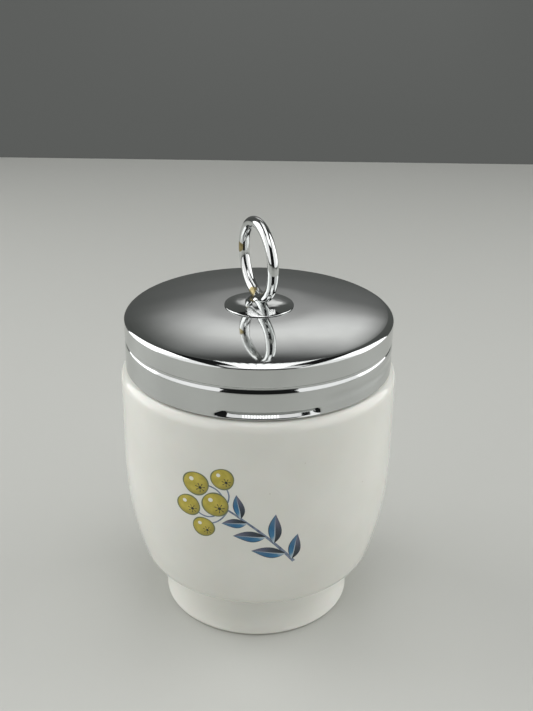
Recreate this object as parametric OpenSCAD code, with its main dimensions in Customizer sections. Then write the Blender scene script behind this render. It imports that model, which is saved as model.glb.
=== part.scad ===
// Porcelain egg coddler: a footed cup with a threaded neck, and a spun metal
// screw lid that is lifted by a wire ring riveted through its crown.
// Millimetres, +Z up, origin at the middle of the foot's resting face.

/* [Cup] */
// Radius of the body at its widest
cup_r = 32.2; // [32:0.1:35]
// Height of the shoulder, where the neck starts
body_h = 62.3; // [56:0.1:70]
// Height at which the side starts to curve in towards the foot
barrel_z = 40; // [34:0.5:46]
// Radius of the long curve down the side
side_curve_r = 86; // [70:1:120]
// Radius of the turn from the side to the underside
turn_r = 5; // [4:0.1:7]
// Slope of the underside between the turn and the foot, in degrees
under_slope = 22; // [16:1:28]
// Rounding of the shoulder
shoulder_round = 2.5; // [1.5:0.1:2.6]
// Wall thickness of the body
wall = 3.6; // [3:0.1:4.4]
// Radius of the corner between the inside wall and the floor
floor_round = 10; // [7:0.5:13]
// Thickness of the floor over the hollow of the foot
floor_t = 5; // [3.5:0.1:6]

/* [Foot] */
// Radius of the foot at the table
foot_r = 23; // [22.4:0.1:25]
// Radius of the foot's waist
waist_r = 21.8; // [20.6:0.1:22.2]
// Height of the foot, from the table to the underside of the body
foot_h = 10.4; // [9:0.1:12]
// Height of the flare at the bottom of the foot
flare_h = 6; // [4:0.1:7.5]
// Width of the foot ring at the table
foot_w = 4.4; // [3.4:0.1:5]
// Depth of the hollow inside the foot ring
hollow_h = 7.5; // [5:0.1:8.5]
// Rounding of the foot's two edges at the table
foot_round = 0.8; // [0.4:0.05:1.2]

/* [Neck] */
// Outside radius of the neck, between its thread
neck_r = 29.2; // [28.4:0.1:29.3]
// Height of the neck above the shoulder
neck_h = 12.1; // [11:0.1:15]
// Wall thickness of the neck; the rim is a full round of this width
neck_wall = 3.2; // [2.6:0.1:4]

/* [Thread] */
// Rise of the thread in one turn
pitch = 5; // [4.6:0.1:6]
// Height of the thread ridge on the neck
ridge_h = 0.8; // [0.6:0.05:0.9]
// Width of the neck's ridge at its root
ridge_w = 1.9; // [1.4:0.1:2.1]
// Length of the neck's ridge round the neck, in degrees
ridge_sweep = 400; // [300:10:420]
// Length of the thread rolled into the lid, in degrees
roll_sweep = 258; // [200:6:300]
// Width of the rolled thread inside the lid, at its root
roll_w = 2.4; // [1.8:0.1:2.6]
// Height of the rolled thread's middle above the lid's edge, where it starts
roll_start_h = 1.5; // [1.4:0.05:1.8]
// Direction in which the rolled thread starts, seen from above, in degrees
roll_start_a = -108; // [-180:6:180]
// Depth of the thread rolled into the lid
roll_d = 0.9; // [0.7:0.05:1]
// Gap between the crest of the neck's thread and the inside of the lid
thread_gap = 0.5; // [0.4:0.05:0.8]

/* [Lid] */
// Thickness of the lid's sheet metal
sheet = 0.5; // [0.4:0.05:0.6]
// Rise of the crown from its edge to its middle
crown_rise = 1.5; // [1:0.1:3]
// Radius of the lid's rounded top corner
corner_r = 1.5; // [1.1:0.1:2.2]
// Drop from the top of the crown to the groove round the lid
groove_drop = 6.8; // [6:0.1:7.4]
// Depth of the groove round the lid
groove_d = 0.3; // [0.22:0.01:0.36]
// Width of the groove's flat bottom
groove_w = 0.6; // [0.3:0.05:0.9]
// Radius of the lip above the groove
lip_r = 0.75; // [0.7:0.05:1]
// Radius of the shoulder below the groove
step_r = 1.6; // [1:0.1:2]
// Gap between the cup's rim and the underside of the crown, screwed down
seat_gap = 0.3; // [0.2:0.05:0.5]
// Gap between the cup's shoulder and the lid's edge, screwed down
edge_gap = 0.3; // [0.2:0.05:0.6]

/* [Ring] */
// Radius of the lifting ring, to the middle of its wire
ring_r = 8.65; // [7.5:0.05:11]
// Thickness of the ring's wire
wire_d = 2.5; // [2:0.1:3]
// Direction of the ring's plane, seen from above, in degrees
ring_turn = 113; // [0:1:180]
// Lean of the ring to the left, in degrees, bent by use
ring_lean = 2; // [0:0.5:4]
// Depth that the ring sinks into the top of the boss
ring_sink = 0.6; // [0.4:0.05:0.9]
// Thickness of the ring's shank through the lid
shank_d = 2.6; // [2:0.1:3]
// Radius of the shank's riveted head
head_r = 2.6; // [2.2:0.1:3.2]
// Height of the riveted head
head_h = 0.9; // [0.6:0.1:1.1]

/* [Boss and washer] */
// Radius of the boss under the ring
boss_r = 8; // [6.5:0.1:10]
// Height of the boss above the middle of the crown
boss_h = 1.6; // [1.3:0.1:2.4]
// Height of the boss's upright edge
boss_edge = 0.35; // [0.2:0.05:0.6]
// Radius of the washer under the crown
washer_r = 6; // [4.5:0.1:9]
// Thickness of the washer
washer_t = 0.8; // [0.5:0.1:1.2]
// Gap at faces that rest on each other and between the shank and its holes
fit_gap = 0.06; // [0.04:0.01:0.1]

/* [Hidden] */
$fn = 96;
// Segments in a small and in a long rounded stretch of an outline
SHORT = 6;
LONG = 16;
// Depth to which a ridge is buried in the wall that carries it
BURY = 0.2;
// Angle between the rings of a thread, and over which a thread runs out
THREAD_STEP = 8;
THREAD_LEAD = 24;
// Height left at the very end of a thread, as a share of its full height
THREAD_TIP = 0.1;
// Width of a thread's crest as a share of its width at the root
CREST = 0.45;
// Radius of the small fillets at the foot and under the neck
FILLET = 0.6;
// Height over which the inside wall draws in to the neck, and its start below the shoulder
DRAW_H = 6;
DRAW_DROP = 2;
// Reach of a cutter past the surface that it cuts
PAST = 0.6;

// Cup
rim_z = body_h + neck_h;
bore_r = neck_r - neck_wall;
inside_r = cup_r - wall;
floor_z = hollow_h + floor_t;
foot_in_r = foot_r - foot_w;
slope_t = tan(under_slope);
slope_c = cos(under_slope);

// Flare of the foot, tangent to the upright waist, and the fillet over it
flare_drop = flare_h - foot_round;
flare_out = foot_r - waist_r;
flare_R = (flare_out * flare_out + flare_drop * flare_drop) / (2 * flare_out);
flare_a = asin(flare_drop / flare_R);
foot_top_c = [waist_r + FILLET, foot_h + FILLET * slope_t - FILLET / slope_c];

// Middle of the long side curve, and of the turn that is tangent to it and to the underside
side_c = [cup_r - side_curve_r, barrel_z];
turn_m = foot_h - waist_r * slope_t + turn_r / slope_c;
turn_reach = side_curve_r - turn_r;
turn_a = 1 + slope_t * slope_t;
turn_b = slope_t * (turn_m - side_c[1]) - side_c[0];
turn_k = side_c[0] * side_c[0] + (turn_m - side_c[1]) * (turn_m - side_c[1]) - turn_reach * turn_reach;
turn_x = (sqrt(turn_b * turn_b - turn_a * turn_k) - turn_b) / turn_a;
turn_c = [turn_x, turn_m + slope_t * turn_x];
turn_end = atan2(turn_c[1] - side_c[1], turn_c[0] - side_c[0]);

// Middle of the inside corner, tangent to the inside wall and to the floor
inner_reach = side_curve_r - wall - floor_round;
inner_drop = barrel_z - floor_z - floor_round;
inner_c = [side_c[0] + sqrt(inner_reach * inner_reach - inner_drop * inner_drop), floor_z + floor_round];
inner_end = -asin(inner_drop / inner_reach);

// Lid
lid_in_r = neck_r + ridge_h + thread_gap;
lid_r = lid_in_r + sheet;
crown_R = (lid_r * lid_r + crown_rise * crown_rise) / (2 * crown_rise);
rim_mid_r = neck_r - neck_wall / 2;
crown_cz = rim_z + seat_gap - sqrt(pow(crown_R - sheet, 2) - pow(rim_mid_r, 2));
lid_top = crown_cz + crown_R;
corner_x = lid_r - corner_r;
corner_z = crown_cz + sqrt(pow(crown_R - corner_r, 2) - pow(corner_x, 2));
corner_a = atan2(corner_z - crown_cz, corner_x);
edge_z = body_h + edge_gap;
groove_z = lid_top - groove_drop;
lip_a = acos((lip_r - groove_d) / lip_r);
step_a = acos((step_r - groove_d) / step_r);
lip_z = groove_z + groove_w / 2 + lip_r * sin(lip_a);
step_z = groove_z - groove_w / 2 - step_r * sin(step_a);

// Threads: the lid's ridge runs under the neck's, a little less than half a turn's rise below it
roll_z = edge_z + roll_start_h;
roll_crest_r = lid_in_r - roll_d;
thread_under = 0.46 * pitch;
ridge_lead_a = 100;
ridge_a0 = roll_start_a - ridge_lead_a;
ridge_z = roll_z + thread_under - pitch * ridge_lead_a / 360;

// Ring, boss and washer
shank_r = shank_d / 2;
hole_r = shank_r + fit_gap;
ring_z = lid_top + boss_h - ring_sink + wire_d / 2 + ring_r;
washer_top = crown_cz + sqrt(pow(crown_R - sheet, 2) - pow(washer_r, 2)) - fit_gap;
head_top = washer_top - washer_t - fit_gap;

// Points along an arc of radius r about c, from angle a0 to angle a1
function arc(c, r, a0, a1, n) =
    [for (i = [0:n]) c + r * [cos(a0 + (a1 - a0) * i / n), sin(a0 + (a1 - a0) * i / n)]];

function backwards(points) = [for (i = [len(points) - 1:-1:0]) points[i]];

// The points without the first, where a stretch goes on from the end of the last one
function onward(points) = [for (i = [1:len(points) - 1]) points[i]];

// The foot from its hollow, round its two edges and up its flared outside
function foot_line() = concat(
    [[0, hollow_h]],
    arc([foot_in_r - FILLET, hollow_h - FILLET], FILLET, 90, 0, SHORT),
    arc([foot_in_r + foot_round, foot_round], foot_round, 180, 270, SHORT),
    arc([foot_r - foot_round, foot_round], foot_round, 270, 360, SHORT),
    onward(arc([waist_r + flare_R, flare_h], flare_R, 180 + flare_a, 180, LONG / 2)),
    arc(foot_top_c, FILLET, 180, 90 + under_slope, SHORT)
);

// The outside of the body, from the underside to the neck
function body_line() = concat(
    arc(turn_c, turn_r, under_slope - 90, turn_end, SHORT + 2),
    onward(arc(side_c, side_curve_r, turn_end, 0, LONG)),
    arc([cup_r - shoulder_round, body_h - shoulder_round], shoulder_round, 0, 90, SHORT + 2),
    arc([neck_r + FILLET / 2, body_h + FILLET / 2], FILLET / 2, 270, 180, SHORT / 2)
);

// The rim and the inside, down to the middle of the floor
function inside_line() = concat(
    arc([rim_mid_r, rim_z - neck_wall / 2], neck_wall / 2, 0, 180, 2 * SHORT),
    [for (i = [0:LONG]) [
        bore_r + (inside_r - bore_r) * (1 - cos(180 * i / LONG)) / 2,
        body_h - DRAW_DROP - DRAW_H * i / LONG
    ]],
    arc(side_c, side_curve_r - wall, 0, inner_end, LONG),
    onward(arc(inner_c, floor_round, inner_end, -90, SHORT + 2)),
    [[0, floor_z]]
);

// A thread that winds up round the Z axis, with a flat crest at crest_r and tapered ends.
// Its root is buried past root_r. It stands outwards where crest_r is the larger radius.
module thread(root_r, crest_r, bury, width, z0, a0, sweep) {
    n = ceil(sweep / THREAD_STEP);
    out = crest_r > root_r ? 1 : -1;
    rings = [for (i = [0:n])
        let (
            turned = sweep * i / n,
            near_end = min(turned, sweep - turned, THREAD_LEAD) / THREAD_LEAD,
            full = THREAD_TIP + (1 - THREAD_TIP) * sin(90 * near_end),
            z = z0 + pitch * turned / 360,
            half = width * full / 2,
            spread = 1 + (1 - CREST) * bury / (abs(crest_r - root_r) * full),
            r0 = root_r - out * bury,
            r1 = root_r + (crest_r - root_r) * full,
            section = [[r0, z - half * spread], [r1, z - half * CREST],
                       [r1, z + half * CREST], [r0, z + half * spread]],
            a = a0 + turned
        )
        [for (p = out > 0 ? section : backwards(section)) [p[0] * cos(a), p[0] * sin(a), p[1]]]
    ];
    sides = [for (i = [0:n - 1], k = [0:3])
        let (a = 4 * i + k, b = 4 * i + (k + 1) % 4)
        each [[a, b, b + 4], [a, b + 4, a + 4]]
    ];
    last = 4 * n;
    ends = [[3, 2, 1], [3, 1, 0], [last, last + 1, last + 2], [last, last + 2, last + 3]];
    polyhedron([for (ring = rings) each ring], concat(sides, ends));
}

module cup() {
    color("whitesmoke")
    union() {
        rotate_extrude() polygon(concat(foot_line(), body_line(), inside_line()));
        thread(neck_r, neck_r + ridge_h, BURY, ridge_w, ridge_z, ridge_a0, ridge_sweep);
    }
}

// One face of the lid's sheet, from the shank's hole to just above the edge, inset by t
function lid_line(t) = concat(
    arc([0, crown_cz], crown_R - t, acos(hole_r / (crown_R - t)), corner_a, LONG),
    onward(arc([corner_x, corner_z], corner_r - t, corner_a, 0, 2 * SHORT)),
    arc([lid_r - lip_r, lip_z], lip_r - t, 0, -lip_a, SHORT),
    arc([lid_r - step_r, step_z], step_r - t, step_a, 0, SHORT)
);

module lid_blank() {
    rotate_extrude() polygon(concat(
        lid_line(0),
        arc([lid_r - sheet / 2, edge_z + sheet / 2], sheet / 2, 0, -180, SHORT),
        backwards(lid_line(sheet))
    ));
}

module lid_shell() {
    color("silver")
    difference() {
        union() {
            lid_blank();
            thread(lid_in_r, roll_crest_r, sheet / 2, roll_w, roll_z, roll_start_a, roll_sweep);
        }
        thread(lid_r, roll_crest_r + sheet, PAST, roll_w - sheet, roll_z, roll_start_a, roll_sweep);
    }
}

// The ring's wire, drawn as a closed ring of thickness d that leans over from its foot
module upright_ring(d) {
    translate([0, 0, ring_z - ring_r])
    rotate([0, -ring_lean, 0])
    rotate([90, 0, ring_turn])
    translate([0, ring_r, 0])
    rotate_extrude()
    translate([ring_r, 0])
    circle(d = d);
}

module ring_boss() {
    boss_seat = crown_R + fit_gap;
    seat_a = acos(boss_r / boss_seat);
    rim = crown_cz + boss_seat * sin(seat_a) + boss_edge;
    dome_h = lid_top + boss_h - rim;
    dome_R = (boss_r * boss_r + dome_h * dome_h) / (2 * dome_h);
    color("silver")
    difference() {
        rotate_extrude()
        polygon(concat(
            arc([0, crown_cz], boss_seat, acos(hole_r / boss_seat), seat_a, SHORT),
            arc([0, rim + dome_h - dome_R], dome_R, acos(boss_r / dome_R), acos(hole_r / dome_R), LONG)
        ));
        upright_ring(wire_d + 2 * fit_gap);
    }
}

module lifting_ring() {
    head_R = (head_r * head_r + head_h * head_h) / (2 * head_h);
    shank_z = head_top - head_h / 2;
    color("gainsboro")
    union() {
        upright_ring(wire_d);
        translate([0, 0, shank_z]) cylinder(r = shank_r, h = ring_z - ring_r - shank_z);
        rotate_extrude()
        polygon(concat(
            [[0, head_top]],
            arc([0, head_top - head_h + head_R], head_R, -90, -acos(head_r / head_R), SHORT)
        ));
    }
}

module backing_washer() {
    color("silver")
    translate([0, 0, washer_top - washer_t])
    difference() {
        cylinder(r = washer_r, h = washer_t);
        translate([0, 0, -PAST]) cylinder(r = hole_r, h = washer_t + 2 * PAST);
    }
}

cup();
lid_shell();
ring_boss();
lifting_ring();
backing_washer();
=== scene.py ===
# %% [markdown]
# # A porcelain egg coddler
# A coddler is a small porcelain cup with a screw lid. An egg is broken into it, the lid is screwed down,
# and it stands in hot water until the egg is set. The wire ring on the lid lifts it out.
# The CAD model gives every size and the way the lid moves. This script dresses it: each piece is
# modelled again with finer curves, and gets the glaze, plating and wear of the real one.

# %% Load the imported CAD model
import math
import bpy
from mathutils import Matrix, Vector


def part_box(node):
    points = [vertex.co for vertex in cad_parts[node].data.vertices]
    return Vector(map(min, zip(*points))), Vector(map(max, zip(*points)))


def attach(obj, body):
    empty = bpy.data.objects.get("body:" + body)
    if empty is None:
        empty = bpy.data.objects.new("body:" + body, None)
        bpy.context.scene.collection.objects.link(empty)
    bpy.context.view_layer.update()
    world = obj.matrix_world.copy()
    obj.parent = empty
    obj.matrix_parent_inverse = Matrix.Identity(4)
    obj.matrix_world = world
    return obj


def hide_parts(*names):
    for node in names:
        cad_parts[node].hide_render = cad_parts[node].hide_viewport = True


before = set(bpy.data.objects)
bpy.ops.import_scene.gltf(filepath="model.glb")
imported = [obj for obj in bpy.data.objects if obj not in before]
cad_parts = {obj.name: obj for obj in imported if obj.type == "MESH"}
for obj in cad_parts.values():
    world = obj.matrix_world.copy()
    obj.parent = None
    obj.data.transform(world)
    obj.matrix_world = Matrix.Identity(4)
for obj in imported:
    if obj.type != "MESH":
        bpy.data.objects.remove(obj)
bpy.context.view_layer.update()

MM = 0.001

# %% [markdown]
# ## The camera
# The photograph was taken from a little above, close to the cup. The ellipses of the lid and of the foot
# give the camera's height and distance, and how far it was turned about its own axis.
# The lens is set from the picture's height, so that the picture may be 533 by 711 pixels or any size like it.

# %% Camera at the photograph's viewing angle
PICTURE_H = 711
FOCAL_PX = 1000
CAMERA_AT = Vector((1.86, -214.9, 160)) * MM
TILT_DOWN = 24.16
ROLL = 0.77
camera_data = bpy.data.cameras.new("camera")
camera_data.sensor_fit = "VERTICAL"
camera_data.sensor_height = 36
camera_data.lens = camera_data.sensor_height * FOCAL_PX / PICTURE_H
camera_data.clip_start = 10 * MM
camera = bpy.data.objects.new("camera", camera_data)
bpy.context.scene.collection.objects.link(camera)
tilt_down = Matrix.Rotation(math.radians(90 - TILT_DOWN), 4, "X")
roll = Matrix.Rotation(math.radians(ROLL), 4, "Z")
camera.matrix_world = Matrix.Translation(CAMERA_AT) @ tilt_down @ roll
bpy.context.scene.camera = camera
bpy.context.scene.view_settings.view_transform = "Standard"
print("lens", round(camera_data.lens, 2), "mm on a sensor 36 mm high")

# %% [markdown]
# ## Helpers for colours and materials
# A shader works in linear light, but colours are easier to name as the hex values that a screen shows.
# One function turns them round, and one small function adds a node with its settings and its links.
# The others build on it: a ramp, a sum, a mix, noise of a size in millimetres, and a relief.

# %% Colour and node helpers
def colour(code):
    """The hex code of a screen colour, as the linear colour that a shader takes."""
    parts = [int(code[i:i + 2], 16) / 255 for i in (0, 2, 4)]
    return [c / 12.92 if c <= 0.04045 else ((c + 0.055) / 1.055) ** 2.4 for c in parts] + [1.0]


def add_node(tree, kind, settings=None, inputs=None):
    """Adds a node. An input that is another node's output is linked, any other is set."""
    added = tree.nodes.new(kind)
    for name, value in (settings or {}).items():
        setattr(added, name, value)
    for name, value in (inputs or {}).items():
        if isinstance(value, bpy.types.NodeSocket):
            tree.links.new(value, added.inputs[name])
        else:
            added.inputs[name].default_value = value
    return added


def new_material(name, **surface):
    """A material with one Principled surface. Its settings are given by their socket names."""
    made = bpy.data.materials.new(name)
    made.use_nodes = True
    shader = made.node_tree.nodes["Principled BSDF"]
    for socket, value in surface.items():
        shader.inputs[socket.replace("_", " ")].default_value = value
    return made, made.node_tree, shader


def ramp(tree, factor, stops):
    """A colour ramp whose stops are (place, hex colour)."""
    made = add_node(tree, "ShaderNodeValToRGB", {}, {"Fac": factor})
    while len(made.color_ramp.elements) < len(stops):
        made.color_ramp.elements.new(0.5)
    for element, (place, code) in zip(made.color_ramp.elements, stops):
        element.position = place
        element.color = colour(code)
    return made.outputs["Color"]


def maths(tree, operation, first, second=0.0, third=0.0, clamp=False):
    """One sum: an operation on numbers or on other nodes' outputs."""
    made = add_node(tree, "ShaderNodeMath", {"operation": operation, "use_clamp": clamp})
    for socket, value in zip(made.inputs, (first, second, third)):
        if isinstance(value, bpy.types.NodeSocket):
            tree.links.new(value, socket)
        else:
            socket.default_value = value
    return made.outputs[0]


def mix(tree, factor, first, second, kind="RGBA"):
    """Goes from first to second as factor goes from 0 to 1. Each is a value or another node's output."""
    made = add_node(tree, "ShaderNodeMix", {"data_type": kind}, {"Factor": factor})
    for name, value in (("A", first), ("B", second)):
        if isinstance(value, bpy.types.NodeSocket):
            tree.links.new(value, made.inputs[name])
        else:
            made.inputs[name].default_value = value
    return made.outputs["Result"]


def noise(tree, place, size_mm, detail):
    """Noise whose patches are about size_mm wide."""
    return add_node(tree, "ShaderNodeTexNoise", {}, {
        "Vector": place, "Scale": 1 / (size_mm * MM), "Detail": detail}).outputs["Fac"]


def bump(tree, height, strength, depth_mm, below=None):
    """The normal of a surface with a relief of depth_mm, laid over the relief below."""
    inputs = {"Height": height, "Strength": strength, "Distance": depth_mm * MM}
    if below is not None:
        inputs["Normal"] = below
    return add_node(tree, "ShaderNodeBump", {}, inputs).outputs["Normal"]


print("white porcelain in linear light:", [round(c, 3) for c in colour("e7e7e0")])

# %% [markdown]
# ## Helpers for modelling
# Cup, lid and boss are round, as they were cast and spun. So each starts as one point of its outline.
# The point is extruded along the outline and the whole outline is then spun round the Z axis.

# %% Outline and spin helpers
WELD = 0.002 * MM
SMOOTH_UP_TO = math.radians(42)


def arc(cx, cz, r, a0, a1, n):
    """Points along an arc of radius r about (cx, cz), from angle a0 to a1 in degrees."""
    turns = [math.radians(a0 + (a1 - a0) * i / n) for i in range(n + 1)]
    return [(cx + r * math.cos(a), cz + r * math.sin(a)) for a in turns]


def rows(x, z0, z1, step):
    """Points straight up or down at radius x, about step apart, without the two ends."""
    n = max(2, round(abs(z1 - z0) / step))
    return [(x, z0 + (z1 - z0) * i / n) for i in range(1, n)]


def spin_round(steps, smooth_up_to):
    """Spins the outline that is being edited once round the Z axis, welds its ends and smooths the skin."""
    bpy.ops.mesh.select_all(action="SELECT")
    bpy.ops.mesh.spin(steps=steps, angle=math.tau, center=(0, 0, 0), axis=(0, 0, 1))
    bpy.ops.mesh.select_all(action="SELECT")
    bpy.ops.mesh.remove_doubles(threshold=WELD)
    bpy.ops.mesh.normals_make_consistent(inside=False)
    bpy.ops.object.mode_set(mode="OBJECT")
    bpy.ops.object.shade_smooth_by_angle(angle=smooth_up_to)


def spin_outline(name, outline, steps):
    """A piece of revolution: the outline's points are (radius, height) in millimetres."""
    bpy.ops.object.select_all(action="DESELECT")
    x, z = outline[0]
    bpy.ops.mesh.primitive_plane_add(size=MM, location=(x * MM, 0, z * MM))
    piece = bpy.context.object
    piece.name = name
    bpy.ops.object.transform_apply(location=True, rotation=True, scale=True)
    bpy.ops.object.mode_set(mode="EDIT")
    bpy.ops.mesh.select_all(action="SELECT")
    bpy.ops.mesh.merge(type="CENTER")
    for (xa, za), (xb, zb) in zip(outline, outline[1:]):
        move = ((xb - xa) * MM, 0, (zb - za) * MM)
        bpy.ops.mesh.extrude_vertices_move(TRANSFORM_OT_translate={"value": move})
    spin_round(steps, SMOOTH_UP_TO)
    print(name, "has", len(piece.data.polygons), "faces")
    return piece


def push_out(piece, amount, from_r):
    """Moves each vertex beyond from_r away from the Z axis by amount(angle in degrees, height in mm)."""
    for vertex in piece.data.vertices:
        x, y, z = vertex.co
        r = math.hypot(x, y)
        if r > from_r * MM:
            grow = 1 + amount(math.degrees(math.atan2(y, x)), z / MM) * MM / r
            vertex.co = (x * grow, y * grow, z)


def smooth_step(x, low, high):
    """0 below low, 1 above high, and an easy curve between them."""
    t = min(1, max(0, (x - low) / (high - low)))
    return t * t * (3 - 2 * t)


# %% [markdown]
# ## The cup
# The cup is one piece of porcelain: slip cast in a mould, its foot and rim sponged round, glazed and fired.
# Its side is a long easy curve that tucks under in a tight turn to a waisted foot.
# The sizes are the CAD model's, and the rim and the widest part are read from it. Only the corner over the
# foot is rounder here, as thick glaze makes it.

# %% Cup sizes
CUP_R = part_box("cup")[1][0] / MM
RIM_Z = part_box("cup")[1][2] / MM
BODY_H = 62.3
BARREL_Z = 40
SIDE_CURVE_R = 86
TURN_R = 5
UNDER_SLOPE = math.radians(22)
SHOULDER_ROUND = 2.5
WALL = 3.6
FLOOR_ROUND = 10
FLOOR_Z = 12.5
FOOT_R = 23
FOOT_IN_R = 18.6
WAIST_R = 21.8
FOOT_H = 10.4
FLARE_H = 6
HOLLOW_H = 7.5
FOOT_ROUND = 0.8
NECK_R = 29.2
NECK_WALL = 3.2
FILLET = 0.6
TUCK_R = 1.1
INSIDE_EASE_H = 6
print("cup radius", round(CUP_R, 2), "rim height", round(RIM_Z, 2))


# %% Outline of the cup, from the hollow of the foot round to the floor inside
def cup_outline():
    slope = math.tan(UNDER_SLOPE)
    flare_drop, flare_out = FLARE_H - FOOT_ROUND, FOOT_R - WAIST_R
    flare_R = (flare_out ** 2 + flare_drop ** 2) / (2 * flare_out)
    flare_a = math.degrees(math.asin(flare_drop / flare_R))
    under = math.degrees(UNDER_SLOPE)
    top_c = (WAIST_R + TUCK_R, FOOT_H + TUCK_R * slope - TUCK_R / math.cos(UNDER_SLOPE))
    foot = [(0, HOLLOW_H), (6, HOLLOW_H), (12, HOLLOW_H)]
    foot += arc(FOOT_IN_R - FILLET, HOLLOW_H - FILLET, FILLET, 90, 0, 8)
    foot += rows(FOOT_IN_R, HOLLOW_H - FILLET, FOOT_ROUND, 0.8)
    foot += arc(FOOT_IN_R + FOOT_ROUND, FOOT_ROUND, FOOT_ROUND, 180, 270, 8)
    foot += [(FOOT_IN_R + FOOT_ROUND + 0.1, 0), (FOOT_R - FOOT_ROUND - 0.1, 0)]
    foot += arc(FOOT_R - FOOT_ROUND, FOOT_ROUND, FOOT_ROUND, 270, 360, 8)
    foot += arc(WAIST_R + flare_R, FLARE_H, flare_R, 180 + flare_a, 180, 16)[1:]
    foot += rows(WAIST_R, FLARE_H, top_c[1], 0.5)
    foot += arc(*top_c, TUCK_R, 180, 90 + under, 10)
    # the turn touches both the long side curve and the sloped underside
    side_x = CUP_R - SIDE_CURVE_R
    m = FOOT_H - WAIST_R * slope + TURN_R / math.cos(UNDER_SLOPE)
    a = 1 + slope ** 2
    b = slope * (m - BARREL_Z) - side_x
    k = side_x ** 2 + (m - BARREL_Z) ** 2 - (SIDE_CURVE_R - TURN_R) ** 2
    turn_x = (math.sqrt(b * b - a * k) - b) / a
    turn_z = m + slope * turn_x
    turn_end = math.degrees(math.atan2(turn_z - BARREL_Z, turn_x - side_x))
    turn = arc(turn_x, turn_z, TURN_R, under - 90, turn_end, 20)
    (x0, z0), (x1, z1) = foot[-1], turn[0]
    body = [(x0 + (x1 - x0) * i / 6, z0 + (z1 - z0) * i / 6) for i in range(1, 6)]
    body += turn + arc(side_x, BARREL_Z, SIDE_CURVE_R, turn_end, 0, 40)[1:]
    body += rows(CUP_R, BARREL_Z, BODY_H - SHOULDER_ROUND, 1)
    body += arc(CUP_R - SHOULDER_ROUND, BODY_H - SHOULDER_ROUND, SHOULDER_ROUND, 0, 90, 14)
    body += arc(NECK_R + FILLET / 2, BODY_H + FILLET / 2, FILLET / 2, 270, 180, 4)
    neck = rows(NECK_R, BODY_H + FILLET / 2, RIM_Z - NECK_WALL / 2, 0.2)
    rim = arc(NECK_R - NECK_WALL / 2, RIM_Z - NECK_WALL / 2, NECK_WALL / 2, 0, 180, 16)
    inside_r, bore_r = CUP_R - WALL, NECK_R - NECK_WALL
    # under the neck the bore widens to the body's inside in an easy curve of 12 steps
    ease_top = BODY_H - 2
    inside = rows(bore_r, RIM_Z - NECK_WALL / 2, ease_top, 1)
    inside += [(bore_r + (inside_r - bore_r) * smooth_step(i, 0, 12), ease_top - INSIDE_EASE_H * i / 12)
               for i in range(13)]
    reach, drop = SIDE_CURVE_R - WALL - FLOOR_ROUND, BARREL_Z - FLOOR_Z - FLOOR_ROUND
    end = -math.degrees(math.asin(drop / reach))
    corner_x = side_x + math.sqrt(reach ** 2 - drop ** 2)
    inside += arc(side_x, BARREL_Z, SIDE_CURVE_R - WALL, 0, end, 16)
    inside += arc(corner_x, FLOOR_Z + FLOOR_ROUND, FLOOR_ROUND, end, -90, 16)[1:]
    return foot + body + neck + rim + inside + [(10, FLOOR_Z), (5, FLOOR_Z), (0, FLOOR_Z)]


cup = spin_outline("porcelain_cup", cup_outline(), 240)

# %% [markdown]
# The neck carries a raised thread of a little more than one turn. It is soft edged, because glaze rounds
# everything that it flows over. The neck's vertices are moved outwards along a helix to raise it.

# %% Thread on the neck
PITCH = 5
EDGE_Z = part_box("lid_shell")[0][2] / MM
ROLL_START = -108
ROLL_START_H = 1.5
RIDGE_H = 0.78
RIDGE_CREST = 0.25
RIDGE_HALF = 1.0
RIDGE_TAPER = 24
RIDGE_OFF = 0.46 * PITCH
BARE_RIM = 0.6
RIDGE_LEAD = 100
RIDGE_SWEEP = 400
RIDGE_START = ROLL_START - RIDGE_LEAD
RIDGE_Z = EDGE_Z + ROLL_START_H + RIDGE_OFF - PITCH * RIDGE_LEAD / 360


def neck_thread(angle, z):
    """How far the thread stands out from the neck, at an angle and a height."""
    if z < BODY_H or z > RIM_Z - BARE_RIM:
        return 0
    height = 0
    for turn in (0, 1):
        along = (angle - RIDGE_START) % 360 + 360 * turn
        if along < RIDGE_SWEEP:
            off = abs(z - RIDGE_Z - PITCH * along / 360)
            taper = smooth_step(min(along, RIDGE_SWEEP - along), 0, RIDGE_TAPER)
            height = max(height, RIDGE_H * taper * (1 - smooth_step(off, RIDGE_CREST, RIDGE_HALF)))
    return height


push_out(cup, neck_thread, NECK_R - 0.01)
print("thread starts at", round(RIDGE_Z, 2), "mm, at", RIDGE_START, "degrees")

# %% [markdown]
# Porcelain is white all through, under a thin clear glaze of glass. The glaze makes it glossy, and it lies
# not quite flat: it pools a little, so highlights waver. Where the cup stood in the kiln, on the foot ring,
# the glaze was wiped off and the bare body shows, matt and faintly grey from use.

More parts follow.
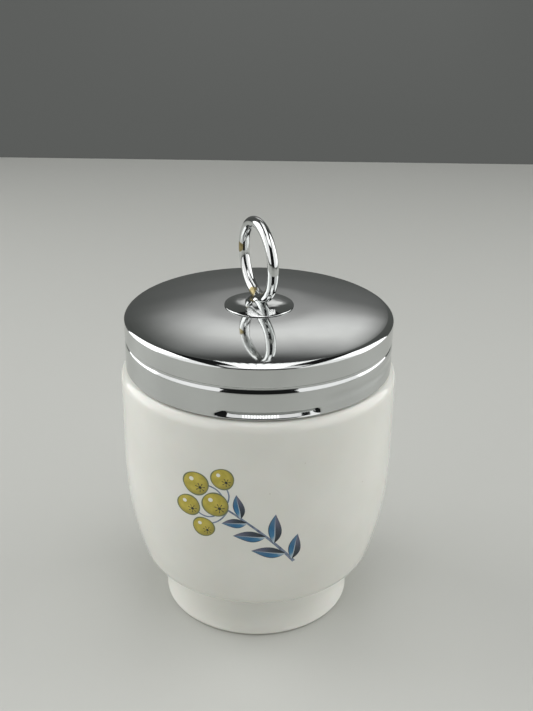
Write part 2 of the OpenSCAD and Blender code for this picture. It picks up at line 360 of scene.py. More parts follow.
# %% Glazed porcelain, bare at the foot ring
def porcelain():
    made, tree, shader = new_material(
        "glazed_porcelain", Roughness=0.07, IOR=1.5, Subsurface_Weight=0.08, Subsurface_Scale=1.2 * MM)
    place = add_node(tree, "ShaderNodeTexCoord").outputs["Object"]
    # cloudiness of the body under the glaze, in patches of about 15 mm
    white = ramp(tree, noise(tree, place, 15, 3.0), [(0.3, "e1e1d9"), (0.7, "e7e7e0")])
    # iron specks about 0.3 mm wide, few and faint
    specks = add_node(tree, "ShaderNodeTexVoronoi", {}, {"Vector": place, "Scale": 1 / (5 * MM)})
    speck = maths(tree, "LESS_THAN", specks.outputs["Distance"], 0.03)
    body = mix(tree, maths(tree, "MULTIPLY", speck, 0.35), white, colour("a59c8c"))
    # the foot ring stands on Z = 0: everything under 0.15 mm is bare, and from 0.35 mm up all is glazed
    height = add_node(tree, "ShaderNodeSeparateXYZ", {}, {"Vector": place}).outputs["Z"]
    bare = add_node(tree, "ShaderNodeMapRange", {}, {
        "Value": height, "From Min": 0.35 * MM, "From Max": 0.15 * MM}).outputs["Result"]
    bisque = ramp(tree, noise(tree, place, 0.8, 4.0), [(0.3, "b9b3a6"), (0.7, "dedbd0")])
    tree.links.new(mix(tree, bare, body, bisque), shader.inputs["Base Color"])
    tree.links.new(maths(tree, "MULTIPLY_ADD", bare, 0.6, 0.07), shader.inputs["Roughness"])
    # the glaze wavers over about 9 mm, by about a hundredth of a millimetre
    waver = noise(tree, place, 9, 1.0)
    tree.links.new(bump(tree, waver, 0.5, 0.05), shader.inputs["Normal"])
    return made


cup.data.materials.append(porcelain())
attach(cup, "cup")
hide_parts("cup")
print("cup:", cup.active_material.name)

# %% [markdown]
# ## The printed sprig
# A small sprig of leaflets and berries decorates the front. Such a design is printed on a sheet in ceramic
# inks, slid onto the glaze and fired again, so it is glossy like the glaze and hardly stands proud of it.
# Each leaflet, berry and stem is a grid that is shaped flat, then pressed onto the cup, and last given the
# thickness of the ink. The grids keep their UV maps, and the colours follow these.

# %% Flat grids in front of the cup
PRINT_Y = -60
INK = 0.02


def flat_grid(columns, lines, place):
    """A flat grid before the cup. place(p, q) gives x and z in mm, for p and q from 0 to 1."""
    bpy.ops.object.select_all(action="DESELECT")
    bpy.ops.mesh.primitive_grid_add(x_subdivisions=columns, y_subdivisions=lines, size=1)
    shape = bpy.context.object
    for vertex in shape.data.vertices:
        x, z = place(vertex.co.x + 0.5, vertex.co.y + 0.5)
        vertex.co = (x * MM, PRINT_Y * MM, z * MM)
    return shape


def bend(curve, t):
    """The point at t on a curve of three control points, and the way that it runs there."""
    start, middle, end = curve
    point = [(1 - t) ** 2 * a + 2 * t * (1 - t) * b + t * t * c for a, b, c in zip(start, middle, end)]
    way = [(1 - t) * (b - a) + t * (c - b) for a, b, c in zip(start, middle, end)]
    return point, math.atan2(way[1], way[0])


def beside(point, way, along, across):
    """A point that lies along a direction from point, and across to the left of it."""
    x = point[0] + along * math.cos(way) - across * math.sin(way)
    return x, point[1] + along * math.sin(way) + across * math.cos(way)


def lay_on_cup(name, shapes, lift, ink):
    """Joins the shapes, presses them onto the cup, lift mm over its glaze, and gives them thickness."""
    bpy.ops.object.select_all(action="DESELECT")
    for shape in shapes:
        shape.select_set(True)
    bpy.context.view_layer.objects.active = shapes[0]
    bpy.ops.object.join()
    laid = bpy.context.object
    laid.name = name
    bpy.ops.object.mode_set(mode="EDIT")
    bpy.ops.mesh.select_all(action="SELECT")
    bpy.ops.mesh.remove_doubles(threshold=WELD)
    bpy.ops.object.mode_set(mode="OBJECT")
    press = laid.modifiers.new("press", "SHRINKWRAP")
    press.target, press.wrap_method, press.wrap_mode = cup, "PROJECT", "ABOVE_SURFACE"
    press.use_project_y, press.use_positive_direction, press.use_negative_direction = True, True, False
    press.offset = lift * MM
    layer = laid.modifiers.new("layer", "SOLIDIFY")
    layer.thickness, layer.offset = INK * MM, 1
    for modifier in ("press", "layer"):
        bpy.ops.object.modifier_apply(modifier=modifier)
    bpy.ops.object.shade_smooth_by_angle(angle=SMOOTH_UP_TO)
    laid.data.materials.append(ink)
    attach(laid, "cup")
    print(name, "has", len(laid.data.polygons), "faces")


# %% [markdown]
# The inks were drawn with a fine brush for the printing plate: the strokes run along each leaflet, one half
# is darker than the other, and the berries have an outline, a lit spot and a little calyx with fine rays.

# %% Inks of the sprig
def leaf_ink():
    made, tree, shader = new_material("fired_leaf_ink", Roughness=0.09, IOR=1.5)
    uv = add_node(tree, "ShaderNodeTexCoord").outputs["UV"]
    split = add_node(tree, "ShaderNodeSeparateXYZ", {}, {"Vector": uv})
    along, across = split.outputs["X"], split.outputs["Y"]
    # strokes about 0.3 mm apart: nine across a leaflet 2.9 mm wide
    drawn = add_node(tree, "ShaderNodeMapping", {}, {"Vector": uv, "Scale": (1.6, 9.0, 1.0)})
    strokes = add_node(tree, "ShaderNodeTexNoise", {}, {
        "Vector": drawn.outputs["Vector"], "Scale": 1.0, "Detail": 2.0}).outputs["Fac"]
    tone = maths(tree, "MULTIPLY_ADD", maths(tree, "SUBTRACT", strokes, 0.5), 0.6, along)
    deep = ramp(tree, tone, [(0.12, "1c262c"), (0.42, "39424f"), (0.85, "66697f")])
    light = ramp(tree, tone, [(0.06, "b4c3cc"), (0.26, "3f7ba1"), (0.5, "256690"), (0.9, "587891")])
    halves = mix(tree, maths(tree, "GREATER_THAN", across, 0.5), deep, light)
    # a pale midrib, thinner towards the tip, and a dark outline
    from_rib = maths(tree, "ABSOLUTE", maths(tree, "SUBTRACT", across, 0.5))
    rib_half = maths(tree, "MULTIPLY_ADD", along, -0.05, 0.055)
    ribbed = mix(tree, maths(tree, "LESS_THAN", from_rib, rib_half), halves, colour("a9b6be"))
    lined = mix(tree, maths(tree, "GREATER_THAN", from_rib, 0.44), ribbed, colour("2c3a46"))
    tree.links.new(lined, shader.inputs["Base Color"])
    return made


def berry_ink():
    made, tree, shader = new_material("fired_berry_ink", Roughness=0.09, IOR=1.5)
    coords = add_node(tree, "ShaderNodeTexCoord")

    def from_spot(spot):
        return add_node(tree, "ShaderNodeVectorMath", {"operation": "SUBTRACT"}, {
            0: coords.outputs["UV"], 1: (*spot, 0)}).outputs["Vector"]

    def distance(spot):
        return add_node(tree, "ShaderNodeVectorMath", {"operation": "LENGTH"}, {
            0: from_spot(spot)}).outputs["Value"]

    # places in the berry's UV square, whose middle is (0.5, 0.5): the shade is darkest away from the light
    middle, lit, shade_from, calyx = (0.5, 0.5), (0.33, 0.67), (0.42, 0.58), (0.66, 0.36)
    shade = add_node(tree, "ShaderNodeMapRange", {"interpolation_type": "SMOOTHSTEP"}, {
        "Value": distance(shade_from), "From Min": 0.28, "From Max": 0.6, "To Max": 0.75}).outputs["Result"]
    # seven rays round the calyx, cut off at its edge
    split = add_node(tree, "ShaderNodeSeparateXYZ", {}, {"Vector": from_spot(calyx)})
    turn = maths(tree, "ARCTAN2", split.outputs["Y"], split.outputs["X"])
    rays = maths(tree, "GREATER_THAN", maths(tree, "SINE", maths(tree, "MULTIPLY", turn, 7)), 0.72)
    star = maths(tree, "MULTIPLY", rays, maths(tree, "LESS_THAN", distance(calyx), 0.19))
    skin = ramp(tree, noise(tree, coords.outputs["Object"], 1.5, 3.0), [(0.35, "aea03c"), (0.65, "c3b34c")])
    for factor, code in (
            (shade, "86803a"),
            (maths(tree, "GREATER_THAN", distance(middle), 0.455), "6c7350"),
            (maths(tree, "LESS_THAN", distance(lit), 0.085), "e6e7da"),
            (star, "3b3f2c"),
            (maths(tree, "LESS_THAN", distance(calyx), 0.06), "23291f")):
        skin = mix(tree, factor, skin, colour(code))
    tree.links.new(skin, shader.inputs["Base Color"])
    return made


def stem_ink():
    made, tree, shader = new_material("fired_stem_ink", Roughness=0.09, IOR=1.5)
    place = add_node(tree, "ShaderNodeTexCoord").outputs["Object"]
    tone = ramp(tree, noise(tree, place, 1.2, 3.0), [(0.35, "56647c"), (0.65, "8592a4")])
    tree.links.new(tone, shader.inputs["Base Color"])
    return made


inks = {"leaf": leaf_ink(), "berry": berry_ink(), "stem": stem_ink()}
print("inks:", [ink.name for ink in inks.values()])

# %% Stems, each a curve of three control points, in mm
STEM = ((8.5, 27.0), (2.5, 36.0), (-6.8, 41.5))
STALKS = [
    ((-6.8, 41.5), (-5.0, 44.4), (-6.4, 46.4)),
    ((-6.8, 41.5), (-6.6, 46.2), (-11.0, 46.6)),
    ((-6.8, 41.5), (-9.8, 36.9), (-13.0, 39.6)),
    ((-6.0, 41.1), (-7.2, 38.0), (-9.8, 37.0)),
]


def ribbon(curve, wide, narrow):
    """A strip along a curve, which narrows from its start to its end."""
    def place(p, q):
        point, way = bend(curve, p)
        return beside(point, way, 0, (q - 0.5) * (wide + (narrow - wide) * p))
    return flat_grid(24, 2, place)


# each kind of shape lies a little over the one before, so that two kinds never share a face where they cross
STEM_LIFT, LEAFLET_LIFT, BERRY_LIFT = 0.004, 0.01, 0.016
stems = [ribbon(STEM, 0.75, 0.4)] + [ribbon(stalk, 0.34, 0.3) for stalk in STALKS]
lay_on_cup("printed_stems", stems, STEM_LIFT, inks["stem"])

# %% Leaflets, each by its place on the stem, its side, its length and its width
LEAFLETS = [(0.04, -1, 7.0, 2.8), (0.15, 1, 7.6, 3.0), (0.34, -1, 7.6, 3.0), (0.46, 1, 7.2, 2.9),
            (0.72, 1, 5.6, 2.4), (0.8, -1, 6.0, 2.5)]
LEAFLET_ANGLE = math.radians(50)
LEAFLET_CURL = 0.09


def leaflet(t, side, length, width):
    """A leaflet that starts at t on the stem, to its left (side 1) or its right (side -1)."""
    base, way = bend(STEM, t)

    def place(p, q):
        # widest a little before the middle, and curved towards the end of the stem
        half = width / 2 * math.sin(math.pi * p ** 0.85)
        curl = side * LEAFLET_CURL * length * math.sin(math.pi * p / 2) ** 2
        return beside(base, way + side * LEAFLET_ANGLE, length * p, (2 * q - 1) * half - curl)
    return flat_grid(18, 8, place)


lay_on_cup("printed_leaflets", [leaflet(*each) for each in LEAFLETS], LEAFLET_LIFT, inks["leaf"])

# %% Berries, each by its place and its radius
BERRIES = [(-13.0, 46.4, 2.9), (-7.2, 48.6, 2.6), (-14.7, 40.5, 2.6), (-8.8, 42.0, 3.0), (-11.4, 35.7, 2.5)]
UNEVEN = 0.025


def berry(x, z, r):
    """A disc whose UV map is the square round it."""
    def place(p, q):
        # the grid's square is rounded into a disc, and the disc is not quite round
        a, b = 2 * p - 1, 2 * q - 1
        u, v = a * math.sqrt(1 - b * b / 2), b * math.sqrt(1 - a * a / 2)
        uneven = 1 + UNEVEN * math.sin(3 * math.atan2(v, u) + x) * math.hypot(u, v)
        return x + r * u * uneven, z + r * v * uneven
    shape = flat_grid(14, 14, place)
    uv_map = shape.data.uv_layers.active.data
    for loop in shape.data.loops:
        spot = shape.data.vertices[loop.vertex_index].co / MM
        uv_map[loop.index].uv = ((spot.x - x) / r / 2 + 0.5, (spot.z - z) / r / 2 + 0.5)
    return shape


lay_on_cup("printed_berries", [berry(*each) for each in BERRIES], BERRY_LIFT, inks["berry"])

# %% [markdown]
# ## The lid
# The lid was spun from thin brass sheet over a former, so it is round everywhere and only half a millimetre
# thick. A groove was rolled in under the upper band, and the screw thread was rolled into the skirt.
# The crown is flat in the middle, bends down a little from a third of the way out, and ends in a round
# corner.

# %% Lid sizes
LID_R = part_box("lid_shell")[1][0] / MM
SHEET = 0.5
CROWN_FLAT_R = 11
CROWN_BEND_R = 138
CORNER_R = 2.0
CORNER_MID = math.radians(52)
EDGE_R = 0.45
GROOVE_DROP = 6.8
GROOVE_D = 0.3
GROOVE_W = 0.6
LIP_R = 0.75
STEP_R = 1.6
HOLE_R = 1.36
LID_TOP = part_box("lid_shell")[1][2] / MM
# the crown's long bend turns the corner in two arcs, the second one tighter, and each touches the next
EDGE_X = LID_R - EDGE_R
CORNER_X = EDGE_X - (CORNER_R - EDGE_R) * math.sin(CORNER_MID)
CROWN_SLOPE = math.asin((CORNER_X - CROWN_FLAT_R) / (CROWN_BEND_R - CORNER_R))
CORNER_Z = LID_TOP - CROWN_BEND_R + (CROWN_BEND_R - CORNER_R) * math.cos(CROWN_SLOPE)
SIDE_TOP_Z = CORNER_Z + (CORNER_R - EDGE_R) * math.cos(CORNER_MID)
GROOVE_Z = LID_TOP - GROOVE_DROP
LIP_A = math.degrees(math.acos((LIP_R - GROOVE_D) / LIP_R))
STEP_A = math.degrees(math.acos((STEP_R - GROOVE_D) / STEP_R))
LIP_Z = GROOVE_Z + GROOVE_W / 2 + LIP_R * math.sin(math.radians(LIP_A))
STEP_Z = GROOVE_Z - GROOVE_W / 2 - STEP_R * math.sin(math.radians(STEP_A))
print("lid radius", round(LID_R, 2), "edge", round(EDGE_Z, 2), "top", round(LID_TOP, 2),
      "side starts at", round(SIDE_TOP_Z, 2))


# %% Outline of the lid's sheet: outside down to the edge, and back up inside
def lid_side(t, step):
    """One face of the sheet, inset by t, from the hole in the crown to just above the edge."""
    slope, middle = 90 - math.degrees(CROWN_SLOPE), 90 - math.degrees(CORNER_MID)
    crown = [(r, LID_TOP - t) for r in (HOLE_R, 4, 7)]
    side = crown + arc(CROWN_FLAT_R, LID_TOP - CROWN_BEND_R, CROWN_BEND_R - t, 90, slope, 18)
    side += arc(CORNER_X, CORNER_Z, CORNER_R - t, slope, middle, 14)[1:]
    # inside, the sheet is thicker than the second arc's radius, so the corner there is a plain one
    if t < EDGE_R:
        side += arc(EDGE_X, SIDE_TOP_Z, EDGE_R - t, middle, 0, 8)[1:]
    else:
        side += [(LID_R - t, SIDE_TOP_Z)]
    side += rows(LID_R - t, SIDE_TOP_Z, LIP_Z, 0.3)
    side += arc(LID_R - LIP_R, LIP_Z, LIP_R - t, 0, -LIP_A, 8)
    side += arc(LID_R - STEP_R, STEP_Z, STEP_R - t, STEP_A, 0, 10)
    return side + rows(LID_R - t, STEP_Z, EDGE_Z + SHEET / 2, step)


outside = lid_side(0, 0.11)
edge = arc(LID_R - SHEET / 2, EDGE_Z + SHEET / 2, SHEET / 2, 0, -180, 8)
inside = lid_side(SHEET, 0.22)
lid = spin_outline("chrome_lid", outside + edge + inside[::-1] + outside[:1], 330)

# %% [markdown]
# The rolled thread starts at the front with a short bright facet: the roller pressed the metal nearly flat
# under a sharp upper edge, and let it flare out again to the lid's edge. From there a wide and very shallow
# groove climbs round the skirt. Both are made by moving the skirt's vertices in towards the axis.

# %% Rolled thread in the skirt
# A pair is where an edge begins and where it ends: in degrees from the facet's start for DEEPENS and RISES,
# and in mm for the facet's upper BROW and the groove's HALF width.
FACET_END = 43
FACET_D = 1.16
FACET_H = 1.16
FACET_MIN_H = 0.1
FACET_LOW = 0.3
FACET_BROW = (0.02, 0.3)
FACET_DEEPENS = (-1, 8)
FACET_RISES = (-4, 5)
GROOVE_END = 258
GROOVE_RUN_OUT = 30
GROOVE_START_H = 2.5
GROOVE_HALF = (0.1, 1.5)
ROLL_D = 0.17


def facet_depth(along, off):
    """How deep the facet is at an angle from its start, off mm above its lowest line."""
    # the left end runs out in a wedge, and the right end is blunt
    blunt_end = 1 - smooth_step(along, FACET_END - 1, FACET_END + 1)
    pressed = FACET_D * smooth_step(along, *FACET_DEEPENS) * blunt_end
    height = FACET_H * smooth_step(along, *FACET_RISES) + FACET_MIN_H
    if off > height:
        return pressed * (1 - smooth_step(off, height + FACET_BROW[0], height + FACET_BROW[1]))
    return pressed * max(0, off / height)


def groove_depth(along, above_edge):
    """How deep the groove is at an angle from the facet's start, and a height above the lid's edge."""
    off = abs(above_edge - GROOVE_START_H - PITCH * along / 360)
    run_in = smooth_step(along, FACET_END - 1, FACET_END + 5)
    run_out = 1 - smooth_step(along, GROOVE_END - GROOVE_RUN_OUT, GROOVE_END)
    return ROLL_D * run_in * run_out * (1 - smooth_step(off, *GROOVE_HALF))


def rolled_thread(angle, z):
    """How far the sheet is pressed in (a negative number), at an angle and a height."""
    if z > STEP_Z + 0.2:
        return 0
    along, above_edge = (angle - ROLL_START) % 360, z - EDGE_Z
    facet = facet_depth(along, above_edge - FACET_LOW) if along < FACET_END + 3 else 0
    groove = groove_depth(along, above_edge) if FACET_END - 4 < along < GROOVE_END else 0
    return -max(facet, groove)


push_out(lid, rolled_thread, HOLE_R)
print("facet from", ROLL_START, "to", ROLL_START + FACET_END, "degrees,",
      "groove on to", ROLL_START + GROOVE_END)

# %% [markdown]
# The lid is bright chrome plate. Chrome is a neutral metal that reflects a little more than half of the
# light, and here it is polished nearly as a mirror. Handling leaves fine scratches and a faint haze, and the
# spun sheet under the plating is not quite flat.

# %% Polished chrome plate
def chrome(name, wave_mm, wave_depth, haze):
    """Chrome whose waves are wave_mm wide and wave_depth mm deep. haze is its roughness where it is dull."""
    made, tree, shader = new_material(name, Metallic=1.0, Roughness=0.06)
    place = add_node(tree, "ShaderNodeTexCoord").outputs["Object"]
    # haze of handling in patches of about 12 mm
    smudge = noise(tree, place, 12, 5.0)
    rough = add_node(tree, "ShaderNodeMapRange", {}, {
        "Value": smudge, "From Min": 0.35, "From Max": 0.75, "To Min": 0.045, "To Max": haze})
    tree.links.new(rough.outputs["Result"], shader.inputs["Roughness"])
    tree.links.new(ramp(tree, smudge, [(0.3, "cdcfce"), (0.75, "c3c5c4")]), shader.inputs["Base Color"])
    # the sheet's slow waves, and over them fine scratches about half a millimetre apart
    waves = bump(tree, noise(tree, place, wave_mm, 1.0), 1.0, wave_depth)
    scratched = bump(tree, noise(tree, place, 0.5, 2.0), 1.0, 0.0008, waves)
    tree.links.new(scratched, shader.inputs["Normal"])
    return made


lid.data.materials.append(chrome("chrome_plate_spun", 14, 0.03, 0.11))
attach(lid, "lid")
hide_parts("lid_shell")
print("lid:", lid.active_material.name)

# %% [markdown]
# ## The boss
# A small collar sits on the middle of the crown, and the ring stands on it. Its top is a low dome, and
# round it a broad bevel runs down to a thin upright rim. Soldering has left it a little dented, so its
# chrome has shorter and deeper waves than the lid's, and more haze.

# %% Boss
BOSS_R = 8
BOSS_H = 1.6
BOSS_RIM_H = 0.16
BOSS_EASE = 0.06
UNDER_EASE = 0.05
BEVEL_OUT_R = BOSS_R - 0.04
BEVEL_IN_R = 5.2
BEVEL_TOP_H = 1.12
BEVEL_BULGE = 0.35
BEVEL_STEPS = 8
FIT_GAP = 0.06
SEAT_Z = LID_TOP + FIT_GAP
BOSS_TOP = LID_TOP + BOSS_H


def on_bevel(t):
    """A point of the bevel, from the rim at 0 to the dome at 1. The bevel bulges a little."""
    height = BOSS_RIM_H + (BEVEL_TOP_H - BOSS_RIM_H) * t + BEVEL_BULGE * t * (1 - t)
    return BEVEL_OUT_R + (BEVEL_IN_R - BEVEL_OUT_R) * t, SEAT_Z + height


def boss_outline():
    under = [(r, SEAT_Z) for r in (HOLE_R, 3, 5, 7)]
    rim = [(BOSS_R - BOSS_EASE, SEAT_Z), (BOSS_R, SEAT_Z + UNDER_EASE),
           (BOSS_R, SEAT_Z + BOSS_RIM_H - BOSS_EASE)]
    bevel = [on_bevel(i / BEVEL_STEPS) for i in range(BEVEL_STEPS + 1)]
    dome_h = BOSS_TOP - bevel[-1][1]
    dome_R = (BEVEL_IN_R ** 2 + dome_h ** 2) / (2 * dome_h)
    start = math.degrees(math.acos(BEVEL_IN_R / dome_R))
    stop = math.degrees(math.acos(HOLE_R / dome_R))
    dome = arc(0, BOSS_TOP - dome_R, dome_R, start, stop, 16)[1:]
    return under + rim + bevel + dome + under[:1]


boss = spin_outline("ring_boss_cap", boss_outline(), 128)
boss.data.materials.append(chrome("chrome_plate_boss", 2.4, 0.08, 0.16))
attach(boss, "lid")
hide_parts("ring_boss")

# %% [markdown]
# ## The lifting ring
# The ring is plated wire bent round, with its ends closed on a short shank. The shank goes through boss and
# crown and is riveted over inside. A circle of the wire's size is spun round the ring's axis. The ring is
# then stood up, turned to the direction in which it stands, and leaned over a little, as use has bent it.

# %% Ring, shank and riveted head
RING_R = 8.65
WIRE_R = 1.25
RING_TURN = 113
RING_LEAN = 2
RING_SINK = 0.6
SHANK_R = 1.3
SHANK_TOP_H = 0.7
RING_Z = BOSS_TOP - RING_SINK + WIRE_R + RING_R
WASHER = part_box("backing_washer")
HEAD_TOP = WASHER[0][2] / MM - FIT_GAP
HEAD_R = 2.6
HEAD_H = 0.9
HEAD_EASE = 0.05
# the solder that fills the corner between boss and wire: out from the shank, and up from the boss's top
SOLDER = [(0, -0.15), (0.55, -0.12), (0.2, 0.12), (-0.15, 0.5)]

bpy.ops.object.select_all(action="DESELECT")
bpy.ops.mesh.primitive_circle_add(vertices=32, radius=WIRE_R * MM, fill_type="NOTHING",
                                  location=(RING_R * MM, 0, RING_Z * MM), rotation=(math.pi / 2, 0, 0))
ring = bpy.context.object
ring.name = "wire_ring"
bpy.ops.object.transform_apply(location=True, rotation=True, scale=True)
# the wire's section lies in the XZ plane, so the ring's own axis is Z here, and it is stood up afterwards
bpy.ops.object.mode_set(mode="EDIT")
spin_round(160, math.radians(60))
stand_up = Matrix.Rotation(math.radians(RING_TURN), 4, "Z") @ Matrix.Rotation(math.pi / 2, 4, "X")
lean_over = Matrix.Rotation(math.radians(-RING_LEAN), 4, "Y")
ring_foot = Matrix.Translation((0, 0, (RING_Z - RING_R) * MM))
ring_place = ring_foot @ lean_over @ stand_up @ Matrix.Translation((0, RING_R * MM, 0))
ring.data.transform(ring_place @ Matrix.Translation((0, 0, -RING_Z * MM)))
print("ring's middle at", round(RING_Z, 2), "mm")


# %% Shank with its fillet up to the wire, and its head inside
def shank_outline():
    head_R = (HEAD_R ** 2 + HEAD_H ** 2) / (2 * HEAD_H)
    head_end = -math.degrees(math.acos(HEAD_R / head_R))
    head = arc(0, HEAD_TOP - HEAD_H + head_R, head_R, -90, head_end, 10)
    shank = head + [(HEAD_R - HEAD_EASE, HEAD_TOP), (SHANK_R, HEAD_TOP)]
    shank += rows(SHANK_R, HEAD_TOP, BOSS_TOP + SOLDER[0][1], 0.5)
    shank += [(SHANK_R + out, BOSS_TOP + up) for out, up in SOLDER]
    return shank + [(0, BOSS_TOP + SHANK_TOP_H)]


shank = spin_outline("ring_shank", shank_outline(), 48)
bpy.ops.object.select_all(action="DESELECT")
shank.select_set(True)
ring.select_set(True)
bpy.context.view_layer.objects.active = ring
bpy.ops.object.join()
print("ring and shank have", len(ring.data.polygons), "faces")

# %% [markdown]
# The ring is handled more than anything else on the coddler, and its chrome is worn through to the brass
# in two places: on the wire's left side and down at its foot. The worn edge is ragged. Brass is a
# yellow metal, duller than the chrome round it.

# %% Chrome plate worn to brass
RAGGED = 1.4
WORN_EDGE = (0.75, 0.45)


def on_ring(turn, side):
    """A point of the wire in mm: turn degrees round the ring from its foot, on the side towards -X."""
    a = math.radians(turn - 90)
    spot = Vector((RING_R * math.cos(a), RING_R * math.sin(a), -WIRE_R * side))
    return ring_place @ (spot * MM) / MM


def worn_spot(tree, place, ragged, spot, reach):
    """1 within about reach mm of the spot, and 0 beyond. The edge follows the ragged noise."""
    gap = add_node(tree, "ShaderNodeVectorMath", {"operation": "DISTANCE"}, {
        0: place, 1: [c * MM for c in spot]})
    edge = maths(tree, "MULTIPLY_ADD", ragged, RAGGED * MM, gap.outputs["Value"])
    return add_node(tree, "ShaderNodeMapRange", {}, {
        "Value": edge, "From Min": (reach + WORN_EDGE[0]) * MM,
        "From Max": (reach + WORN_EDGE[1]) * MM}).outputs["Result"]


def worn_plate(spots):
    made = chrome("chrome_plate_worn_to_brass", 4, 0.02, 0.12)
    tree = made.node_tree
    shader = tree.nodes["Principled BSDF"]
    plate = shader.inputs["Base Color"].links[0].from_socket
    rough = shader.inputs["Roughness"].links[0].from_socket
    place = add_node(tree, "ShaderNodeTexCoord").outputs["Object"]
    ragged = noise(tree, place, 1.1, 4.0)
    worn = maths(tree, "MAXIMUM", *[worn_spot(tree, place, ragged, *each) for each in spots])
    brass = ramp(tree, ragged, [(0.35, "7d7250"), (0.65, "a3966a")])
    tree.links.new(mix(tree, worn, plate, brass), shader.inputs["Base Color"])
    tree.links.new(mix(tree, worn, rough, 0.3, "FLOAT"), shader.inputs["Roughness"])
    return made


# each worn spot is a point of the wire, and how far the wear reaches from it, in mm
WORN_SPOTS = [(on_ring(96, 0.8), 1.35), (on_ring(10, 0.8), 1.7)]
ring.data.materials.append(worn_plate(WORN_SPOTS))
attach(ring, "lid")
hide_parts("lifting_ring")
print("ring:", ring.active_material.name, "with", len(WORN_SPOTS), "worn spots")

# %% [markdown]
# ## The backing washer
# The washer under the crown keeps its CAD shape. It is stamped brass that was never plated, gone dull in the
# steam of many eggs, with the fine marks of the sheet's rolling.

# %% Dull stamped brass
def stamped_brass():
    made, tree, shader = new_material("stamped_brass", Metallic=1.0, Roughness=0.38)
    place = add_node(tree, "ShaderNodeTexCoord").outputs["Object"]
    stretched = add_node(tree, "ShaderNodeMapping", {}, {"Vector": place, "Scale": (1.0, 12.0, 1.0)})
    grain = noise(tree, stretched.outputs["Vector"], 3, 4.0)
    tree.links.new(ramp(tree, grain, [(0.3, "8a7646"), (0.7, "b5a067")]), shader.inputs["Base Color"])
    tree.links.new(bump(tree, grain, 0.6, 0.01), shader.inputs["Normal"])
    return made


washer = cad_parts["backing_washer"]
washer.data.materials.clear()
washer.data.materials.append(stamped_brass())
print("washer:", washer.active_material.name, "on", len(washer.data.polygons), "faces")

# %% [markdown]
# ## The studio
# The reflections in the lid suggest a light box: pale table, dark grey backdrop, white walls left and right,
# a row of small lamps overhead and a pale cloth over the front. Polished metal shows all of it, so each has
# its place here.

# %% Table and backdrop
BACKDROP_Y = 0.62
BACKDROP_GREY = "525452"


def plane(name, size, place, rotation=(0, 0, 0)):
    """A flat plane of (width, depth) metres, attached to no body of the object."""
    bpy.ops.object.select_all(action="DESELECT")
    bpy.ops.mesh.primitive_plane_add(size=1, location=place, rotation=rotation)
    made = bpy.context.object
    made.name = name
    made.scale = (*size, 1)
    bpy.ops.object.transform_apply(location=True, rotation=True, scale=True)
    return made


table = plane("table", (3, 2), (0, -0.53, 0))
table.data.materials.append(new_material("matt_table", Base_Color=colour("c4c5c0"), Roughness=0.6)[0])
backdrop = plane("backdrop", (3, 1.4), (0, BACKDROP_Y, 0.3), (math.pi / 2, 0, 0))

# %% [markdown]
# The camera sees only the lowest and darkest part of the backdrop. The crown of the lid mirrors what is
# higher up: a bright band that fades out to both sides. Its glow stands for light that falls on the cloth.

# %% Backdrop cloth with its bright band
BAND_TOP_Z = 0.7
BAND_LEFT = (-0.2, -0.03)
BAND_RIGHT = (0.21, 0.13)


def backdrop_cloth():
    made, tree, shader = new_material(
        "grey_backdrop", Base_Color=colour("202020"), Roughness=0.9, Emission_Strength=1.08)
    place = add_node(tree, "ShaderNodeSeparateXYZ", {}, {
        "Vector": add_node(tree, "ShaderNodeTexCoord").outputs["Object"]})
    climb = maths(tree, "MULTIPLY", place.outputs["Z"], 1 / BAND_TOP_Z, clamp=True)
    bright = ramp(tree, climb, [
        (0.0, BACKDROP_GREY), (0.24, "585a58"), (0.4, "6c6d6c"), (0.46, "a2a2a1"), (0.5, "d8d8d7"),
        (0.56, "f4f4f3"), (0.62, "f4f4f2"), (0.71, "c8c8c7"), (0.77, "9a9b9a"), (0.81, "686968"),
        (0.84, "3c3d3d"), (1.0, "2c2d2d")])
    # the band ends at both sides, on the left more slowly
    sides = [add_node(tree, "ShaderNodeMapRange", {"interpolation_type": "SMOOTHSTEP"}, {
        "Value": place.outputs["X"], "From Min": dark_x, "From Max": bright_x}).outputs["Result"]
        for dark_x, bright_x in (BAND_LEFT, BAND_RIGHT)]
    glow = mix(tree, maths(tree, "MULTIPLY", *sides), colour(BACKDROP_GREY), bright)
    tree.links.new(glow, shader.inputs["Emission Color"])
    return made


backdrop.data.materials.append(backdrop_cloth())
print("backdrop:", backdrop.active_material.name)

# %% [markdown]
# Each lamp is an area light. A mirror shows an area light as an evenly bright shape, so its radiance is set
# by how bright that shape should look, and its power follows from its area.
# Each side wall is two lamps, as it is brighter at the back, where the box is closed.

# %% Lamps
WALL_Z = 0.4
WALL_H = 0.74
WALL_Y = (-0.795, -0.03, 0.355)
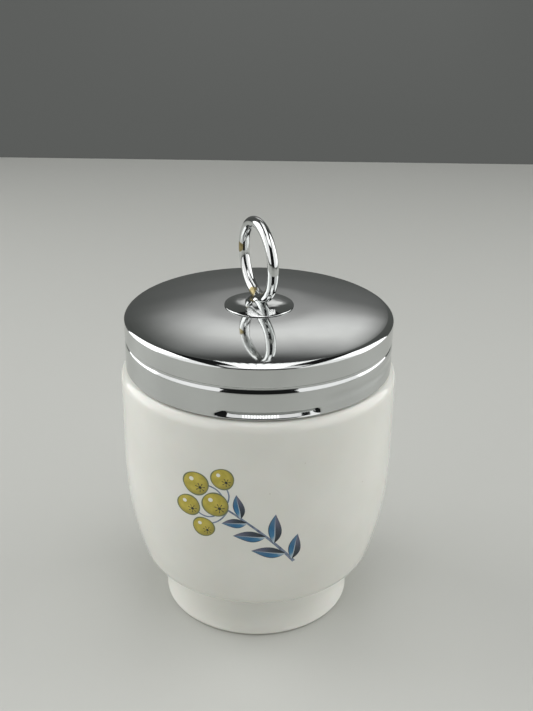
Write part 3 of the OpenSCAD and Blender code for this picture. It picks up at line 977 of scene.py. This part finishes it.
# each wall's place along X, and its radiance at the front and at the back
WALLS = {"left": (-0.45, 1.3, 2.7), "right": (0.5, 1.3, 2.4)}
LAMPS = 13
LAMP_X = (-0.087, 0.125)
LAMP_Y = 0.01
LAMP_Z = 0.53
LAMP_SIZE = (0.0165, 0.74)
LAMP_GLOW = 2.0
CLOTH_AT = (0.04, -0.285, 0.55)
CLOTH_SIZE = (0.49, 0.27)
CLOTH_GLOW = 1.1


def panel(name, place, size, look_at, radiance, shape="RECTANGLE"):
    """A soft panel of (width, height) metres. Its radiance is what a mirror shows of it, 1 being white."""
    data = bpy.data.lights.new(name, "AREA")
    data.shape = shape
    data.size, data.size_y = size
    area = size[0] * size[1] * (math.pi / 4 if shape == "ELLIPSE" else 1)
    data.energy = radiance * math.pi * area
    lamp = bpy.data.objects.new(name, data)
    bpy.context.scene.collection.objects.link(lamp)
    way = Vector(look_at) - Vector(place)
    lamp.matrix_world = Matrix.Translation(place) @ way.to_track_quat("-Z", "Y").to_matrix().to_4x4()
    lamp.visible_camera = False


for side, (x, front_glow, back_glow) in WALLS.items():
    for part, y0, y1, glow in (("front", *WALL_Y[:2], front_glow), ("back", *WALL_Y[1:], back_glow)):
        spot = (x, (y0 + y1) / 2, WALL_Z)
        panel(side + "_wall_" + part, spot, (y1 - y0, WALL_H), (0, spot[1], spot[2]), glow)
for i in range(LAMPS):
    x = LAMP_X[0] + (LAMP_X[1] - LAMP_X[0]) * i / (LAMPS - 1)
    panel("lamp_%02d" % i, (x, LAMP_Y, LAMP_Z), LAMP_SIZE, (x, LAMP_Y, 0), LAMP_GLOW, "ELLIPSE")
panel("front_cloth", CLOTH_AT, CLOTH_SIZE, (*CLOTH_AT[:2], 0), CLOTH_GLOW)

# %% [markdown]
# What the polished metal shows of the room in front of the box is dark. The camera alone sees a grey like
# the backdrop's there, so that it isn't black behind the coddler when it is seen from the side or the back.

# %% The room round the light box
world = bpy.data.worlds.new("studio")
bpy.context.scene.world = world
world.use_nodes = True
world_tree = world.node_tree
seen = add_node(world_tree, "ShaderNodeLightPath").outputs["Is Camera Ray"]
room = mix(world_tree, seen, colour("1e1f1f"), colour("626462"))
world_tree.links.new(room, world_tree.nodes["Background"].inputs["Color"])
print("world:", world.name)
